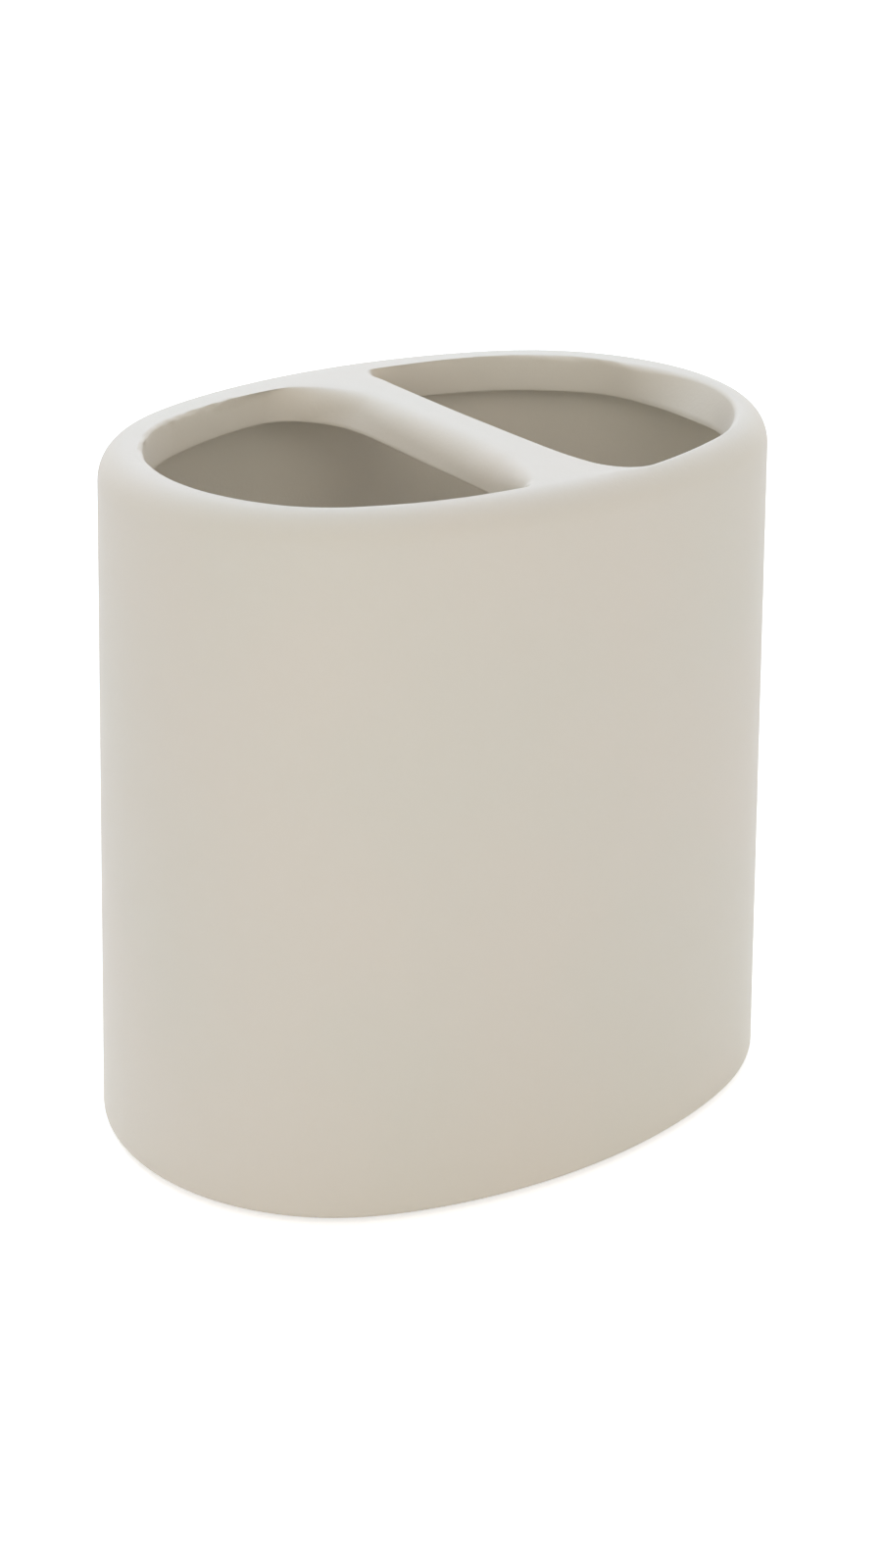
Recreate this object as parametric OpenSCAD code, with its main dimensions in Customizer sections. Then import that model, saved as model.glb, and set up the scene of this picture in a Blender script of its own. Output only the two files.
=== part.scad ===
// Oval toothbrush holder: a cast vessel, its top deck with two openings, and four soft pads.

/* [Vessel] */
// Height of the ceramic from foot ring to rim
holder_h = 110; // [95:1:125]
// Length of the oval, half way up
holder_len = 111; // [105:1:125]
// Depth of the oval, half way up
holder_dep = 80.2; // [74:0.1:90]
// How far the faces stand out further at the foot than at the rim
draft = 3.6; // [0.5:0.1:5]
// Thickness of the cast wall
wall_t = 4.5; // [3.5:0.1:6]
// Thickness of the floor above the recess
floor_t = 5; // [4:0.1:7]
// Rounding of the outer foot edge
foot_round = 1.2; // [0.8:0.1:4]
// Rounding between inner wall and floor
inner_round = 8; // [4:0.5:12]

/* [Underside] */
// Depth of the recess under the floor
recess_depth = 1; // [0.6:0.1:1.5]
// Width of the foot ring around the recess
ring_w = 7; // [5:0.5:9]

/* [Top deck] */
// Thickness of the deck, rim to lower lip
deck_t = 6; // [5:0.1:8]
// Rounding of the outer rim edge
rim_round = 4.4; // [2:0.1:4.5]
// Width of the rim at the lower lip, outer face to opening wall
rim_w = 7; // [6.9:0.1:9]
// How far an opening wall leans outward between lip and rim
mouth_lean = 1.6; // [0.4:0.1:1.6]
// Rounding of the rim where it meets an opening
mouth_round = 1.1; // [0.5:0.1:1.1]
// Width of the cross bar at the lower lip
bar_w = 11.4; // [10.6:0.1:14]
// How far the cross bar sits off centre, toward the right end
bar_shift = 2.6; // [0:0.1:4]
// Rounding of both upper edges of the cross bar
bar_round = 4.2; // [2:0.1:4.2]
// Radius of the wide corners, right front and left rear, at the lip
wide_corner_r = 7.5; // [5:0.1:10]
// Radius of the tight corners, right rear and left front, at the lip
tight_corner_r = 4.2; // [4:0.1:8]

/* [Pads] */
// Diameter of each pad
pad_d = 10; // [8:0.5:12]
// Thickness of each pad with its adhesive film
pad_t = 1.8; // [1.6:0.1:3]
// Adhesive film between a pad and the recess, left open
film_t = 0.1; // [0.05:0.01:0.2]
// Rounding of the lower pad edge
pad_round = 0.6; // [0.3:0.1:0.8]
// Pad place along the length, as a share of half the length
pad_x_share = 0.56; // [0.4:0.01:0.6]
// Pad place along the depth, as a share of half the depth
pad_y_share = 0.46; // [0.3:0.01:0.5]

/* [Hidden] */
$fn = 120;
overrun = wall_t;
lean = atan2(draft, holder_h);
mouth_angle = atan2(mouth_lean, deck_t);
foot_z = pad_t - recess_depth;
rim_z = foot_z + holder_h;
seam_z = rim_z - deck_t;
floor_z = pad_t + floor_t;
low_z = -2 * overrun;
high_z = rim_z + 2 * overrun;
crest_share = 0.02;
corner_share = 0.01;
core_share = 0.98;

// Places are rounded to this share of a millimetre, so that neighbouring arcs share their edges
fine_share = 0.001;
function snap(v) = round(v / fine_share) * fine_share;

// The oval's tight ends and shallow sides meet on the slope of a 44 : 117 : 125 triangle
run_share = 44;
rise_share = 117;
slope_share = 125;
round_share = run_share + rise_share - slope_share;
gap = snap((holder_len - holder_dep) / 2 / round_share);
end_x = gap * run_share;
side_y = gap * rise_share;
half_len = snap(holder_len / 2);
end_r = half_len - end_x;
side_r = end_r + gap * slope_share;
half_dep = side_r - side_y;

pad_color = [0.86, 0.86, 0.84];
clay_color = [0.84, 0.82, 0.78];

// How far the outer face stands outside the oval at height z
function face(z) = snap(draft * (0.5 - (z - foot_z) / holder_h));

// Slice of a disc between two directions less than a half turn apart
module slice(radius, from, to) {
    reach = 2 * radius;
    middle = (from + to) / 2;
    intersection() {
        circle(r = radius);
        polygon([
            [0, 0],
            [reach * cos(from), reach * sin(from)],
            [reach * cos(middle), reach * sin(middle)],
            [reach * cos(to), reach * sin(to)]
        ]);
    }
}

// Upright block over an outline, higher and lower than the whole holder
module block(points) {
    translate([0, 0, low_z]) linear_extrude(height = high_z - low_z) polygon(points);
}

// Turns a section about one centre; the section reads its radius from $turn_r
module turn(place, radius) {
    translate(place) rotate_extrude() {
        $turn_r = radius;
        children();
    }
}

// Turns a section about the four centres of the oval
module oval_turn() {
    joint_x = 4 * end_x;
    joint_y = 3 * side_y;
    for (side = [-1, 1]) {
        intersection() {
            turn([side * end_x, 0, 0], end_r) children();
            block([
                [side * end_x, 0],
                [side * joint_x, joint_y],
                [side * holder_len, joint_y],
                [side * holder_len, -joint_y],
                [side * joint_x, -joint_y]
            ]);
        }
        intersection() {
            turn([0, -side * side_y, 0], side_r) children();
            block([[-end_x, 0], [end_x, 0], [joint_x, side * joint_y], [-joint_x, side * joint_y]]);
        }
        // Narrower cores lie across the seams between the stretches
        turn([side * end_x, 0, 0], snap(end_r * core_share)) children();
    }
}

// Section of the vessel with its rounded foot edge, before the hollow
module cup_section() {
    round_z = foot_z + foot_round;
    round_x = snap($turn_r + face(round_z) - foot_round / cos(lean));
    translate([round_x, round_z]) slice(foot_round, -90, lean);
    polygon([
        [0, foot_z],
        [round_x, foot_z],
        [round_x, round_z],
        [round_x + snap(foot_round * cos(lean)), round_z + snap(foot_round * sin(lean))],
        [$turn_r + face(seam_z), seam_z],
        [0, seam_z]
    ]);
}

// Section of the hollow with its rounded lower corner
module hollow_section() {
    top_z = seam_z + overrun;
    round_z = floor_z + inner_round;
    round_x = snap($turn_r + face(round_z) - wall_t - inner_round / cos(lean));
    translate([round_x, round_z]) slice(inner_round, -90, lean);
    polygon([
        [0, floor_z],
        [round_x, floor_z],
        [round_x, round_z],
        [round_x + snap(inner_round * cos(lean)), round_z + snap(inner_round * sin(lean))],
        [$turn_r + face(top_z) - wall_t, top_z],
        [0, top_z]
    ]);
}

// Section of the recess that lifts the floor off the shelf
module recess_section() {
    translate([0, foot_z - overrun]) square([$turn_r + face(foot_z) - ring_w, overrun + recess_depth]);
}

module cup_body() {
    color(clay_color) difference() {
        oval_turn() cup_section();
        oval_turn() hollow_section();
        oval_turn() recess_section();
    }
}

// Section of the deck with its rounded outer edge, before the openings
module deck_section() {
    round_z = rim_z - rim_round;
    round_x = snap($turn_r + face(round_z) - rim_round / cos(lean));
    translate([round_x, round_z]) slice(rim_round, lean, 90);
    polygon([
        [0, seam_z],
        [$turn_r + face(seam_z), seam_z],
        [round_x + snap(rim_round * cos(lean)), round_z + snap(rim_round * sin(lean))],
        [round_x, round_z],
        [round_x, rim_z],
        [0, rim_z]
    ]);
}

// How much further out an opening's crest lies than its lip, where its edge is rounded by edge_round
function spread(edge_round) =
    snap((deck_t - edge_round * (1 - crest_share)) * tan(mouth_angle) + edge_round / cos(mouth_angle));

// Section of an opening: a wall that leans outward from the lip and rolls over at the crest
module mouth_section(crest_x, edge_round) {
    round_z = snap(rim_z - edge_round * (1 - crest_share));
    touch_x = crest_x - snap(edge_round * cos(mouth_angle));
    touch_z = round_z + snap(edge_round * sin(mouth_angle));
    lip_x = crest_x - spread(edge_round);
    difference() {
        polygon([
            [0, seam_z - overrun],
            [lip_x, seam_z - overrun],
            [lip_x, seam_z],
            [touch_x, touch_z],
            [crest_x, touch_z],
            [crest_x, rim_z + overrun],
            [0, rim_z + overrun]
        ]);
        translate([crest_x, round_z]) circle(r = edge_round);
    }
}

// Width of the rim at its crest, and radius of a corner at its crest
crest_w = rim_w - spread(mouth_round);
function corner_r(lip_r) = lip_r + spread(mouth_round);

// Face of the cross bar toward the opening on this side
function bar_face(side) = bar_w / 2 + side * bar_shift;

// Centre of a corner, set in from the bar and from the rim's shallow arc
function corner(side, lip_r, edge_round) =
    let(x = snap(bar_face(side) + corner_r(lip_r) - spread(edge_round)))
    let(reach = side_r + face(rim_z) - crest_w - corner_r(lip_r))
    [x, snap(sqrt(reach * reach - x * x) - side_y)];

// The part of an opening that follows the rim
module rim_mouth(side) {
    wide = corner(side, wide_corner_r, mouth_round);
    tight = corner(side, tight_corner_r, mouth_round);
    inner_x = bar_face(side) + mouth_round;
    intersection() {
        oval_turn() mouth_section($turn_r + face(rim_z) - crest_w, mouth_round);
        block([
            [inner_x, -wide.y],
            [wide.x, -wide.y],
            [2 * wide.x, -2 * wide.y - side_y],
            [holder_len, -holder_len],
            [holder_len, holder_len],
            [2 * tight.x, 2 * tight.y + side_y],
            [tight.x, tight.y],
            [inner_x, tight.y]
        ]);
    }
}

// The part of an opening that follows the cross bar
module bar_mouth(side) {
    wide = corner(side, wide_corner_r, bar_round);
    tight = corner(side, tight_corner_r, bar_round);
    intersection() {
        translate([holder_len, 0, 0]) rotate([90, 0, 180])
            linear_extrude(height = holder_len, center = true)
                mouth_section(holder_len - bar_face(side) + spread(bar_round), bar_round);
        block([[-holder_len, -wide.y], [wide.x, -wide.y], [tight.x, tight.y], [-holder_len, tight.y]]);
    }
}

// The two corners of an opening, wide at the front and tight at the rear, rounded as rim and as bar
module corner_mouths(side) {
    for (edge_round = [mouth_round, bar_round], rear = [-1, 1]) {
        lip_r = rear < 0 ? wide_corner_r : tight_corner_r;
        place = corner(side, lip_r, edge_round);
        translate([place.x, rear * place.y, 0])
            rotate_extrude() mouth_section(snap(corner_r(lip_r) * (1 + corner_share)), edge_round);
    }
}

// One D-shaped opening, for the right end when side is 1 and turned round to the left end when it is -1
module mouth(side) {
    rotate([0, 0, side < 0 ? 180 : 0]) {
        rim_mouth(side);
        bar_mouth(side);
        corner_mouths(side);
    }
}

module top_deck() {
    color(clay_color) difference() {
        oval_turn() deck_section();
        mouth(1);
        mouth(-1);
    }
}

// One pad, stuck into the recess and rounded where it meets the shelf
module pad(along, across) {
    pad_r = pad_d / 2;
    color(pad_color) translate([along * pad_x_share * half_len, across * pad_y_share * half_dep, 0])
        rotate_extrude() {
            translate([pad_r - pad_round, pad_round]) slice(pad_round, -90, 0);
            polygon([
                [0, 0],
                [pad_r - pad_round, 0],
                [pad_r - pad_round, pad_round],
                [pad_r, pad_round],
                [pad_r, pad_t - film_t],
                [0, pad_t - film_t]
            ]);
        }
}

module pad_front_left() {
    pad(-1, -1);
}

module pad_front_right() {
    pad(1, -1);
}

module pad_rear_left() {
    pad(-1, 1);
}

module pad_rear_right() {
    pad(1, 1);
}

cup_body();
top_deck();
pad_front_left();
pad_front_right();
pad_rear_left();
pad_rear_right();
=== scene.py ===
"""Looks of an oval cast toothbrush holder: vessel, top deck with two openings, and four soft pads."""

import logging
import math
from abc import ABC, abstractmethod
from dataclasses import dataclass, field
from enum import Enum
from functools import cached_property
from typing import Iterable, Sequence

import bmesh
import bpy
import numpy as np
from mathutils import Matrix, Vector, noise


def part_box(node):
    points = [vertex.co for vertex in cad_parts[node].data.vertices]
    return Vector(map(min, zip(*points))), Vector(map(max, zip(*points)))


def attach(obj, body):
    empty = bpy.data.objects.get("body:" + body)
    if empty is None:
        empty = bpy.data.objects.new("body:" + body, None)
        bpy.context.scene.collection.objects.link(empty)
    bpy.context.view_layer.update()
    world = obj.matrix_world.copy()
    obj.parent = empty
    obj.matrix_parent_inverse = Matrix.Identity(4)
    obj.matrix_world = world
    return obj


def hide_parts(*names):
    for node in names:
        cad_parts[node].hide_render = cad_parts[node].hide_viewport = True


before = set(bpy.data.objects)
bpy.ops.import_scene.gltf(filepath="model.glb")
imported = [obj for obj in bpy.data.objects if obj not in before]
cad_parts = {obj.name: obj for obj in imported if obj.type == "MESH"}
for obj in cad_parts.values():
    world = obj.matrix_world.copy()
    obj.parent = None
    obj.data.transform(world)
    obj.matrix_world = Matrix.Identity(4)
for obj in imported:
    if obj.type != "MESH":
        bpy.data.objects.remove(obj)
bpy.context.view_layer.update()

MM = 0.001
PAD_NODES = ("pad_front_left", "pad_front_right", "pad_rear_left", "pad_rear_right")

# Directions of the oval's normal, in degrees, at which the widths of a rim are given
STATIONS = (-90.0, -70.0, -50.0, -30.0, -10.0, 10.0, 30.0, 50.0, 70.0, 90.0)
# Distance from the bar's middle, in millimetres, at which its edge has spread in full
BAR_HALF = 30.0
# First guess, rounds and handle length for the corners of an opening, and the step that gives a tangent
CORNER_GUESS_DEG = 70.0
CORNER_ROUNDS = 4
ANGLE_ROUNDS = 5
CORNER_HOLD = 0.56
TANGENT_STEP = 0.01
# Points nearer to each other than this, in metres, become one
WELD = 1e-7
# Places of the colour sockets on a Mix node
MIX_FACTOR, MIX_A, MIX_B, MIX_RESULT = 0, 6, 7, 2

log = logging.getLogger("holder")

Point = tuple[float, float, float]
Colour = tuple[float, float, float]
Amount = float | np.ndarray


class Side(Enum):
    """Which end of the oval an opening lies at."""

    RIGHT = 1
    LEFT = -1


class Stretch(Enum):
    """The stretches of an opening's edge, in the order they are walked."""

    RIM = "rim"
    BACK_CORNER = "back corner"
    BAR = "bar"
    FRONT_CORNER = "front corner"


def ease(x: float) -> float:
    """Smooth step from 0 to 1."""
    x = min(1.0, max(0.0, x))
    return x * x * (3 - 2 * x)


def mix(a: Amount, b: Amount, share: Amount) -> Amount:
    """Straight blend from a to b, of numbers or arrays."""
    return a + (b - a) * share


def glide(x: float, places: Sequence[float], values: Sequence[float]) -> float:
    """Smooth curve through given values.

    Args:
        x: where the curve is read.
        places: rising places of the values.
        values: the values it runs through.

    Returns:
        The curve's height at x.
    """
    x = min(max(x, places[0]), places[-1])
    i = min(max(int(np.searchsorted(places, x)) - 1, 0), len(places) - 2)
    t = (x - places[i]) / (places[i + 1] - places[i])
    a, b = values[i], values[i + 1]
    leave = (b - values[max(i - 1, 0)]) / 2
    arrive = (values[min(i + 2, len(values) - 1)] - a) / 2
    return a + t * (leave + t * (3 * (b - a) - 2 * leave - arrive + t * (2 * (a - b) + leave + arrive)))


@dataclass(frozen=True)
class OvalPlan:
    """Oval outline half way up the vessel: tight ends and long shallow sides, in millimetres.

    Attributes:
        half_len: half the length.
        half_dep: half the depth.
        joint_deg: direction of the normal where an end turns into a side.
        blend_deg: how far to both sides of it the radius changes over.
        steps: number of points of the outline.
    """

    half_len: float
    half_dep: float
    joint_deg: float = 69.4
    blend_deg: float = 10.0
    steps: int = 3600

    def __post_init__(self) -> None:
        """Integrates the outline once from its radius of curvature."""
        angle = np.linspace(0, 2 * math.pi, self.steps + 1)
        folded = np.abs(np.arctan2(np.sin(angle), np.cos(angle)))
        folded = np.degrees(np.minimum(folded, math.pi - folded))
        share = np.clip((folded - self.joint_deg + self.blend_deg) / (2 * self.blend_deg), 0, 1)
        share = share * share * (3 - 2 * share)
        quarter = self.steps // 4
        along = self._integral(share * np.sin(angle), angle)[quarter]
        across = self._integral(share * np.cos(angle), angle)[quarter]
        spread = (self.half_len - self.half_dep) / (along - across)
        radius = self.half_len - spread * along + spread * share
        x = self.half_len - self._integral(radius * np.sin(angle), angle)
        y = self._integral(radius * np.cos(angle), angle)
        object.__setattr__(self, "_angle", angle)
        object.__setattr__(self, "_x", x)
        object.__setattr__(self, "_y", y)

    @staticmethod
    def _integral(values: np.ndarray, at: np.ndarray) -> np.ndarray:
        """Running integral by the trapezoid rule."""
        pieces = (values[1:] + values[:-1]) / 2 * np.diff(at)
        return np.concatenate([[0.0], np.cumsum(pieces)])

    def at(self, angle: float, out: float) -> tuple[float, float]:
        """Point of the outline pushed outward.

        Args:
            angle: direction of the outline's normal, in radians.
            out: how far the point lies outside the outline.

        Returns:
            The point's x and y.
        """
        turn = angle % (2 * math.pi)
        x = float(np.interp(turn, self._angle, self._x))
        y = float(np.interp(turn, self._angle, self._y))
        return x + out * math.cos(angle), y + out * math.sin(angle)

    def angle_at_x(self, x: float, out: float, back: bool) -> float:
        """Normal direction where the outline, pushed outward, passes a given x.

        Args:
            x: the abscissa sought.
            out: how far the outline is pushed outward.
            back: True for the rear half, False for the front half.

        Returns:
            The angle in radians, positive at the back and negative at the front.
        """
        half = self.steps // 2 + 1
        reach = self._x[:half] + out * np.cos(self._angle[:half])
        angle = float(np.interp(-x, -reach, self._angle[:half]))
        return angle if back else -angle


@dataclass(frozen=True)
class Body:
    """Heights and leans that the vessel and the deck share, in millimetres.

    Attributes:
        foot_z: underside of the foot ring.
        seam_z: where the deck sits on the vessel, level with the lip of the openings.
        rim_z: the flat top.
        half_len_at_foot: half the length at the widest place.
        half_dep_at_foot: half the depth there.
        draft: how much further out the face stands at the foot than at the rim.
        foot_round: radius of the foot's edge.
        wall: thickness of the vessel's wall.
        clearance: how far the skin stays inside the solid.
    """

    foot_z: float
    seam_z: float
    rim_z: float
    half_len_at_foot: float
    half_dep_at_foot: float
    draft: float = 3.6
    foot_round: float = 1.2
    wall: float = 4.5
    clearance: float = 0.04

    @classmethod
    def from_frame(cls) -> "Body":
        """Takes heights and reach from the boxes of the vessel and the deck.

        Returns:
            The sizes of this holder.
        """
        low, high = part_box("cup_body")
        rim_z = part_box("top_deck")[1][2]
        return cls(foot_z=low[2] / MM, seam_z=high[2] / MM, rim_z=rim_z / MM,
                   half_len_at_foot=high[0] / MM, half_dep_at_foot=high[1] / MM)

    @cached_property
    def plan(self) -> OvalPlan:
        """Outline half way up, a hair inside the solid's own."""
        out = self.face(self.foot_z + self.foot_round) + self.clearance
        return OvalPlan(self.half_len_at_foot - out, self.half_dep_at_foot - out)

    def face(self, z: float) -> float:
        """How far the outer face stands outside the plan at height z."""
        return self.draft * (0.5 - (z - self.foot_z) / (self.rim_z - self.foot_z))


@dataclass(frozen=True)
class EdgeLine:
    """One level of an opening's edge, drawn with the opening toward +X, in millimetres.

    Attributes:
        widths: distance from the outer face at each of the STATIONS.
        bar_x: place of the edge half way along the bar.
        bar_spread: how much further out it stands at the bar's front end and at its rear end.
        front: how far the front corner reaches along the rim and along the bar.
        back: the same for the rear corner.
    """

    widths: tuple[float, ...]
    bar_x: float
    bar_spread: tuple[float, float]
    front: tuple[float, float]
    back: tuple[float, float]

    def width(self, angle: float) -> float:
        """Distance of the edge from the outer face where the outline faces this way."""
        return glide(math.degrees(angle), STATIONS, self.widths)

    def bar(self, y: float) -> tuple[float, float]:
        """Point of the edge on the bar."""
        spread = self.bar_spread[1] if y > 0 else self.bar_spread[0]
        return self.bar_x + spread * (y / BAR_HALF) ** 4, y

    def rim(self, plan: OvalPlan, face: float, angle: float) -> tuple[float, float]:
        """Point of the edge on the rim."""
        return plan.at(angle, face - self.width(angle))

    def angle_at_x(self, plan: OvalPlan, face: float, x: float, back: bool) -> float:
        """Direction in which the rim's edge passes a given x.

        Args:
            plan: outline of the oval.
            face: how far the outer face stands outside the outline at this level.
            x: the abscissa sought.
            back: True for the rear half.

        Returns:
            The angle in radians.
        """
        angle = math.radians(CORNER_GUESS_DEG if back else -CORNER_GUESS_DEG)
        for _ in range(ANGLE_ROUNDS):
            angle = plan.angle_at_x(x, face - self.width(angle), back)
        return angle

    def corner(self, plan: OvalPlan, face: float, back: bool) -> tuple[float, np.ndarray]:
        """Where one corner leaves the rim, and its curve.

        Args:
            plan: outline of the oval.
            face: how far the outer face stands outside the outline at this level.
            back: True for the rear corner.

        Returns:
            The direction where the corner begins, and the four handles of its curve from rim to bar.
        """
        along_rim, along_bar = self.back if back else self.front
        way = 1.0 if back else -1.0
        x = self.bar_x
        for _ in range(CORNER_ROUNDS):
            angle = self.angle_at_x(plan, face, x, back)
            y = self.rim(plan, face, angle)[1]
            x = self.bar(y)[0]
        angle = self.angle_at_x(plan, face, x + along_rim, back)
        start = np.array(self.rim(plan, face, angle))
        start_way = np.array(self.rim(plan, face, angle + TANGENT_STEP * way)) - start
        end = np.array(self.bar(y - way * along_bar))
        end_way = np.array(self.bar(y - way * along_bar + way)) - end
        reach = np.linalg.solve(np.column_stack([start_way, -end_way]), end - start)[0]
        tip = start + reach * start_way
        handles = [start, start + CORNER_HOLD * (tip - start), end + CORNER_HOLD * (tip - end), end]
        return angle, np.array(handles)


@dataclass(frozen=True)
class MouthSide:
    """One opening: its edge at crest and lip, and where its roll grows from rim to bar.

    Attributes:
        side: which end it lies at.
        crest: where the flat top ends.
        lip: the lower edge of its wall.
        rim_roll: radius of the roll along the front rim and along the rear rim.
        front_fade: the roll grows between these distances from the front corner, along the edge.
        back_fade: the same at the rear corner.
        lift: how much thinner the deck is at the rear corner.
        ragged: size of the fine bites along the rear edge.
        seed: picks its unevenness.
    """

    side: Side
    crest: EdgeLine
    lip: EdgeLine
    rim_roll: tuple[float, float]
    front_fade: tuple[float, float]
    back_fade: tuple[float, float]
    lift: float
    ragged: float
    seed: float


RIGHT_MOUTH = MouthSide(
    side=Side.RIGHT,
    crest=EdgeLine(
        widths=(2.8, 3.45, 4.0, 4.3, 5.0, 6.5, 7.1, 6.9, 7.1, 8.4),
        bar_x=3.8, bar_spread=(2.0, 1.1), front=(6.0, 7.0), back=(2.5, 3.5)),
    lip=EdgeLine(
        widths=(6.0, 6.3, 6.6, 6.8, 8.7, 8.9, 7.6, 7.8, 7.3, 7.1),
        bar_x=8.3, bar_spread=(0.8, 0.8), front=(5.0, 5.0), back=(3.0, 3.5)),
    rim_roll=(1.1, 1.1), front_fade=(-5.0, 9.0), back_fade=(-2.0, 7.0),
    lift=0.0, ragged=0.15, seed=2.1)

LEFT_MOUTH = MouthSide(
    side=Side.LEFT,
    crest=EdgeLine(
        widths=(4.7, 3.8, 3.6, 4.2, 4.8, 5.4, 5.85, 6.4, 7.8, 9.8),
        bar_x=-0.3, bar_spread=(4.5, 3.5), front=(2.0, 2.5), back=(10.0, 13.0)),
    lip=EdgeLine(
        widths=(7.4, 6.6, 6.6, 6.9, 7.0, 7.1, 7.2, 7.7, 8.3, 8.7),
        bar_x=3.7, bar_spread=(2.8, 5.2), front=(3.0, 3.0), back=(6.0, 10.0)),
    rim_roll=(1.1, 0.7), front_fade=(-1.0, 2.0), back_fade=(-22.0, 3.0),
    lift=0.5, ragged=0.5, seed=9.4)


@dataclass(frozen=True)
class Wave:
    """One layer of hand-made unevenness, in millimetres.

    Attributes:
        height: how far it reaches to both sides.
        reach: distance over which it changes.
        shift: sets its pattern apart from that of the other layers.
    """

    height: float
    reach: float
    shift: float

    def at(self, x: float, y: float, seed: float) -> float:
        """Height of the unevenness at a place."""
        return self.height * noise.noise(Vector((x / self.reach, y / self.reach, seed + self.shift)))


SLOW_WAVE = Wave(height=0.20, reach=13.0, shift=0.0)
QUICK_WAVE = Wave(height=0.09, reach=5.0, shift=7.3)
BITES = Wave(height=1.0, reach=2.4, shift=3.1)


@dataclass
class Skin:
    """Collects points and faces of one closed mesh, in millimetres."""

    points: list[Point] = field(default_factory=list)
    faces: list[tuple[int, ...]] = field(default_factory=list)

    def row(self, points: Iterable[Point]) -> list[int]:
        """Adds a row of points.

        Args:
            points: the points, in walking order.

        Returns:
            Their indices.
        """
        first = len(self.points)
        self.points.extend(points)
        return list(range(first, len(self.points)))

    def band(self, lower: Sequence[int], upper: Sequence[int]) -> None:
        """Closes two rows of equal length into a ring of quads.

        Args:
            lower: indices of one row.
            upper: indices of the next row.
        """
        count = len(lower)
        for i in range(count):
            j = (i + 1) % count
            self.faces.append((lower[i], lower[j], upper[j], upper[i]))

    def step(self, last: Sequence[int], points: Iterable[Point]) -> list[int]:
        """Adds a row and closes the band between it and the last one.

        Args:
            last: indices of the last row.
            points: points of the new one.

        Returns:
            Indices of the new row.
        """
        row = self.row(points)
        self.band(last, row)
        return row

    def cap(self, row: Sequence[int], centre: Point) -> None:
        """Closes a row onto one middle point.

        Args:
            row: indices of the row.
            centre: the middle point.
        """
        middle = self.row([centre])[0]
        for i in range(len(row)):
            self.faces.append((row[i], row[(i + 1) % len(row)], middle))

    def build(self, name: str, crease_deg: float) -> bpy.types.Object:
        """Makes the mesh object.

        Args:
            name: name of the object.
            crease_deg: edges that turn by more than this stay sharp.

        Returns:
            The new object, smooth shaded, with outward normals.
        """
        mesh = bpy.data.meshes.new(name)
        mesh.from_pydata([tuple(c * MM for c in p) for p in self.points], [], self.faces)
        work = bmesh.new()
        work.from_mesh(mesh)
        bmesh.ops.remove_doubles(work, verts=work.verts, dist=WELD)
        bmesh.ops.recalc_face_normals(work, faces=work.faces)
        limit = math.radians(crease_deg)
        for edge in work.edges:
            edge.smooth = not (edge.is_manifold and edge.calc_face_angle(0.0) > limit)
        for face in work.faces:
            face.smooth = True
        work.to_mesh(mesh)
        work.free()
        piece = bpy.data.objects.new(name, mesh)
        bpy.context.scene.collection.objects.link(piece)
        return piece


class Board:
    """Places, sets and links the nodes of one tree."""

    def __init__(self, tree: bpy.types.NodeTree) -> None:
        """Keeps the tree and starts from an empty one."""
        self.tree = tree
        tree.nodes.clear()

    def add(self, kind: str, **settings: object) -> bpy.types.Node:
        """Adds a node.

        Args:
            kind: type name of the node.
            **settings: properties to set on it.

        Returns:
            The new node.
        """
        node = self.tree.nodes.new(kind)
        for key, value in settings.items():
            setattr(node, key, value)
        return node

    def link(self, start: bpy.types.NodeSocket, end: bpy.types.NodeSocket) -> None:
        """Links an output to an input."""
        self.tree.links.new(start, end)

    def value(self, node: bpy.types.Node, **values: object) -> None:
        """Sets inputs by their names, with spaces written as underscores."""
        for key, value in values.items():
            node.inputs[key.replace("_", " ")].default_value = value

    def feed(self, value: object, socket: bpy.types.NodeSocket) -> None:
        """Links an output to an input, or sets the input to a plain value.

        Args:
            value: an output, or a number or colour.
            socket: the input.
        """
        if isinstance(value, bpy.types.NodeSocket):
            self.link(value, socket)
        else:
            socket.default_value = value

    def math(self, operation: str, a: object, b: object) -> bpy.types.NodeSocket:
        """Reckons with two outputs or numbers.

        Args:
            operation: what the Math node does.
            a: first output or number.
            b: second output or number.

        Returns:
            The result's output.
        """
        node = self.add("ShaderNodeMath", operation=operation)
        self.feed(a, node.inputs[0])
        self.feed(b, node.inputs[1])
        return node.outputs[0]

    def blend(self, share: object, a: object, b: object) -> bpy.types.NodeSocket:
        """Blends two colours.

        Args:
            share: 0 for the first colour, 1 for the second.
            a: first colour.
            b: second colour.

        Returns:
            The blend's output.
        """
        node = self.add("ShaderNodeMix", data_type="RGBA")
        for place, value in ((MIX_FACTOR, share), (MIX_A, a), (MIX_B, b)):
            self.feed(value, node.inputs[place])
        return node.outputs[MIX_RESULT]


def new_group(name: str, inputs: Sequence[tuple[str, str, float | None]],
              outputs: Sequence[tuple[str, str]]) -> tuple[bpy.types.NodeTree, Board]:
    """Starts a shader node group.

    Args:
        name: name of the group.
        inputs: name, socket type and default of each input.
        outputs: name and socket type of each output.

    Returns:
        The group and the board to place its nodes on.
    """
    group = bpy.data.node_groups.new(name, "ShaderNodeTree")
    for label, kind, default in inputs:
        socket = group.interface.new_socket(label, in_out="INPUT", socket_type=kind)
        if default is not None:
            socket.default_value = default
    for label, kind in outputs:
        group.interface.new_socket(label, in_out="OUTPUT", socket_type=kind)
    return group, Board(group)


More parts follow.
